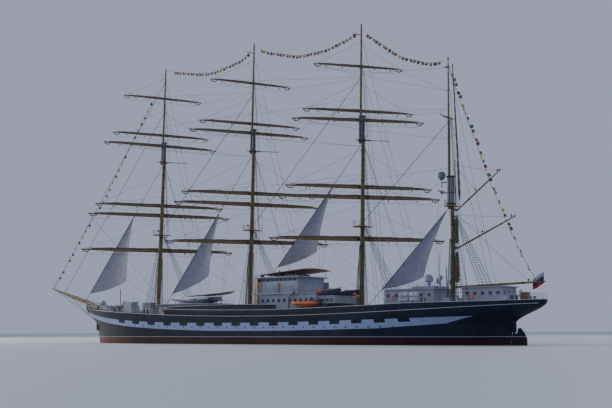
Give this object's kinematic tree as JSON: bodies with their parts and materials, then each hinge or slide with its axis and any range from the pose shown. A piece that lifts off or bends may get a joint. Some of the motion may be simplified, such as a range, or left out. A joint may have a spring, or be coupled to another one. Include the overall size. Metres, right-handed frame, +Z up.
{
  "type": "four-masted barque, 1:10 scale model",
  "caption": "Square-rigged four-masted barque with braced yards, staysails, gaffs and a boom, a white band of painted ports, deckhouses, a rudder and twin screws.",
  "frame": {"origin": "centreline amidships at the waterline", "axes": "+X aft, +Y to starboard, +Z up; the bow points along -X"},
  "size_m": [11.5426, 2.2472, 6.3299],
  "materials": {
    "hull_paint": "satin",
    "spar_paint": "satin",
    "white_paint": "satin",
    "wire": "matte",
    "canvas": "matte",
    "bronze": "satin"
  },
  "bodies": {
    "root": {"hull": "hull_paint", "propeller_shaft_port": "hull_paint", "propeller_shaft_starboard": "hull_paint", "fore_mast": "spar_paint", "main_mast": "spar_paint", "mizzen_mast": "spar_paint", "jigger_mast": "spar_paint", "bowsprit": "spar_paint", "fore_topmast_stay": "wire", "fore_topgallant_stay": "wire", "fore_royal_stay": "wire", "main_topmast_stay": "wire", "main_topgallant_stay": "wire", "mizzen_topmast_stay": "wire", "mizzen_topgallant_stay": "wire", "jigger_stay": "wire", "jigger_topmast_stay": "wire", "fore_topmast_staysail": "canvas", "main_topmast_staysail": "canvas", "mizzen_topmast_staysail": "canvas", "jigger_staysail": "canvas", "fore_shrouds_port": "wire", "fore_shrouds_starboard": "wire", "main_shrouds_port": "wire", "main_shrouds_starboard": "wire", "mizzen_shrouds_port": "wire", "mizzen_shrouds_starboard": "wire", "jigger_shrouds_port": "wire", "jigger_shrouds_starboard": "wire", "bridge_house": "white_paint", "fore_deckhouse": "white_paint", "aft_deckhouse": "white_paint", "poop_house": "white_paint"},
    "rudder": {"rudder": "hull_paint"},
    "propeller_port": {"propeller_port": "bronze"},
    "propeller_starboard": {"propeller_starboard": "bronze"},
    "fore_course_yard": {"fore_course_yard": "spar_paint"},
    "fore_lower_topsail_yard": {"fore_lower_topsail_yard": "spar_paint"},
    "fore_upper_topsail_yard": {"fore_upper_topsail_yard": "spar_paint"},
    "fore_lower_topgallant_yard": {"fore_lower_topgallant_yard": "spar_paint"},
    "fore_upper_topgallant_yard": {"fore_upper_topgallant_yard": "spar_paint"},
    "fore_royal_yard": {"fore_royal_yard": "spar_paint"},
    "main_course_yard": {"main_course_yard": "spar_paint"},
    "main_lower_topsail_yard": {"main_lower_topsail_yard": "spar_paint"},
    "main_upper_topsail_yard": {"main_upper_topsail_yard": "spar_paint"},
    "main_lower_topgallant_yard": {"main_lower_topgallant_yard": "spar_paint"},
    "main_upper_topgallant_yard": {"main_upper_topgallant_yard": "spar_paint"},
    "main_royal_yard": {"main_royal_yard": "spar_paint"},
    "mizzen_course_yard": {"mizzen_course_yard": "spar_paint"},
    "mizzen_lower_topsail_yard": {"mizzen_lower_topsail_yard": "spar_paint"},
    "mizzen_upper_topsail_yard": {"mizzen_upper_topsail_yard": "spar_paint"},
    "mizzen_lower_topgallant_yard": {"mizzen_lower_topgallant_yard": "spar_paint"},
    "mizzen_upper_topgallant_yard": {"mizzen_upper_topgallant_yard": "spar_paint"},
    "mizzen_royal_yard": {"mizzen_royal_yard": "spar_paint"},
    "spanker_boom": {"spanker_boom": "spar_paint"},
    "lower_gaff": {"lower_gaff": "spar_paint"},
    "upper_gaff": {"upper_gaff": "spar_paint"}
  },
  "joints": [
    {"name": "rudder_turn", "type": "hinge", "parent": "root", "child": "rudder", "pos_m": [4.59, 0, -0.4], "axis": [0, 0, 1], "range_deg": [-35, 35]},
    {"name": "propeller_spin_port", "type": "hinge", "parent": "root", "child": "propeller_port", "pos_m": [4.32, -0.31, -0.41], "axis": [1, 0, 0], "continuous": true},
    {"name": "propeller_spin_starboard", "type": "hinge", "parent": "root", "child": "propeller_starboard", "pos_m": [4.32, 0.31, -0.41], "axis": [1, 0, 0], "continuous": true},
    {"name": "fore_course_brace", "type": "hinge", "parent": "root", "child": "fore_course_yard", "pos_m": [-3.11269, 0, 1.84237], "axis": [0.0323, 0, 0.9995], "range_deg": [0, 96]},
    {"name": "fore_lower_topsail_brace", "type": "hinge", "parent": "root", "child": "fore_lower_topsail_yard", "pos_m": [-3.05479, 0, 2.55087], "axis": [0.0323, 0, 0.9995], "range_deg": [-6.8, 89.2]},
    {"name": "fore_upper_topsail_brace", "type": "hinge", "parent": "root", "child": "fore_upper_topsail_yard", "pos_m": [-3.04833, 0, 2.75076], "axis": [0.0323, 0, 0.9995], "range_deg": [-9, 87]},
    {"name": "fore_lower_topgallant_brace", "type": "hinge", "parent": "root", "child": "fore_lower_topgallant_yard", "pos_m": [-3.04128, 0, 3.99118], "axis": [0.0323, 0, 0.9995], "range_deg": [-16.7, 79.3]},
    {"name": "fore_upper_topgallant_brace", "type": "hinge", "parent": "root", "child": "fore_upper_topgallant_yard", "pos_m": [-3.03418, 0, 4.21107], "axis": [0.0323, 0, 0.9995], "range_deg": [-14.6, 81.4]},
    {"name": "fore_royal_brace", "type": "hinge", "parent": "root", "child": "fore_royal_yard", "pos_m": [-3.00932, 0, 4.98067], "axis": [0.0323, 0, 0.9995], "range_deg": [-16.7, 79.3]},
    {"name": "main_course_brace", "type": "hinge", "parent": "root", "child": "main_course_yard", "pos_m": [-0.71467, 0, 1.87208], "axis": [0.0272, 0, 0.9996], "range_deg": [0, 96]},
    {"name": "main_lower_topsail_brace", "type": "hinge", "parent": "root", "child": "main_lower_topsail_yard", "pos_m": [-0.66035, 0, 2.58086], "axis": [0.0272, 0, 0.9996], "range_deg": [-10, 86]},
    {"name": "main_upper_topsail_brace", "type": "hinge", "parent": "root", "child": "main_upper_topsail_yard", "pos_m": [-0.65463, 0, 2.79079], "axis": [0.0272, 0, 0.9996], "range_deg": [-7.1, 88.9]},
    {"name": "main_lower_topgallant_brace", "type": "hinge", "parent": "root", "child": "main_lower_topgallant_yard", "pos_m": [-0.65604, 0, 3.95125], "axis": [0.0272, 0, 0.9996], "range_deg": [-13.2, 82.8]},
    {"name": "main_upper_topgallant_brace", "type": "hinge", "parent": "root", "child": "main_upper_topgallant_yard", "pos_m": [-0.65114, 0, 4.13119], "axis": [0.0272, 0, 0.9996], "range_deg": [-14, 82]},
    {"name": "main_royal_brace", "type": "hinge", "parent": "root", "child": "main_royal_yard", "pos_m": [-0.62964, 0, 4.92089], "axis": [0.0272, 0, 0.9996], "range_deg": [-17.7, 78.3]},
    {"name": "mizzen_course_brace", "type": "hinge", "parent": "root", "child": "mizzen_course_yard", "pos_m": [1.76539, 0, 1.78179], "axis": [0.0222, 0, 0.9998], "range_deg": [0, 96]},
    {"name": "mizzen_lower_topsail_brace", "type": "hinge", "parent": "root", "child": "mizzen_lower_topsail_yard", "pos_m": [1.81634, 0, 2.50084], "axis": [0.0222, 0, 0.9998], "range_deg": [-0.9, 95.1]},
    {"name": "mizzen_upper_topsail_brace", "type": "hinge", "parent": "root", "child": "mizzen_upper_topsail_yard", "pos_m": [1.82033, 0, 2.68079], "axis": [0.0222, 0, 0.9998], "range_deg": [-4, 92]},
    {"name": "mizzen_lower_topgallant_brace", "type": "hinge", "parent": "root", "child": "mizzen_lower_topgallant_yard", "pos_m": [1.81349, 0, 3.86124], "axis": [0.0222, 0, 0.9998], "range_deg": [-2.3, 93.7]},
    {"name": "mizzen_upper_topgallant_brace", "type": "hinge", "parent": "root", "child": "mizzen_upper_topgallant_yard", "pos_m": [1.81704, 0, 4.0212], "axis": [0.0222, 0, 0.9998], "range_deg": [-5.8, 90.2]},
    {"name": "mizzen_royal_brace", "type": "hinge", "parent": "root", "child": "mizzen_royal_yard", "pos_m": [1.83477, 0, 4.821], "axis": [0.0222, 0, 0.9998], "range_deg": [-7.8, 88.2]},
    {"name": "spanker_boom_swing", "type": "hinge", "parent": "root", "child": "spanker_boom", "pos_m": [3.638, 0, 0.90888], "axis": [0.0171, 0, 0.9999], "range_deg": [-40, 40]},
    {"name": "lower_gaff_swing", "type": "hinge", "parent": "root", "child": "lower_gaff", "pos_m": [3.64461, 0, 1.52886], "axis": [0.0171, 0, 0.9999], "range_deg": [-35, 35]},
    {"name": "upper_gaff_swing", "type": "hinge", "parent": "root", "child": "upper_gaff", "pos_m": [3.65504, 0, 2.13877], "axis": [0.0171, 0, 0.9999], "range_deg": [-35, 35]}
  ]
}
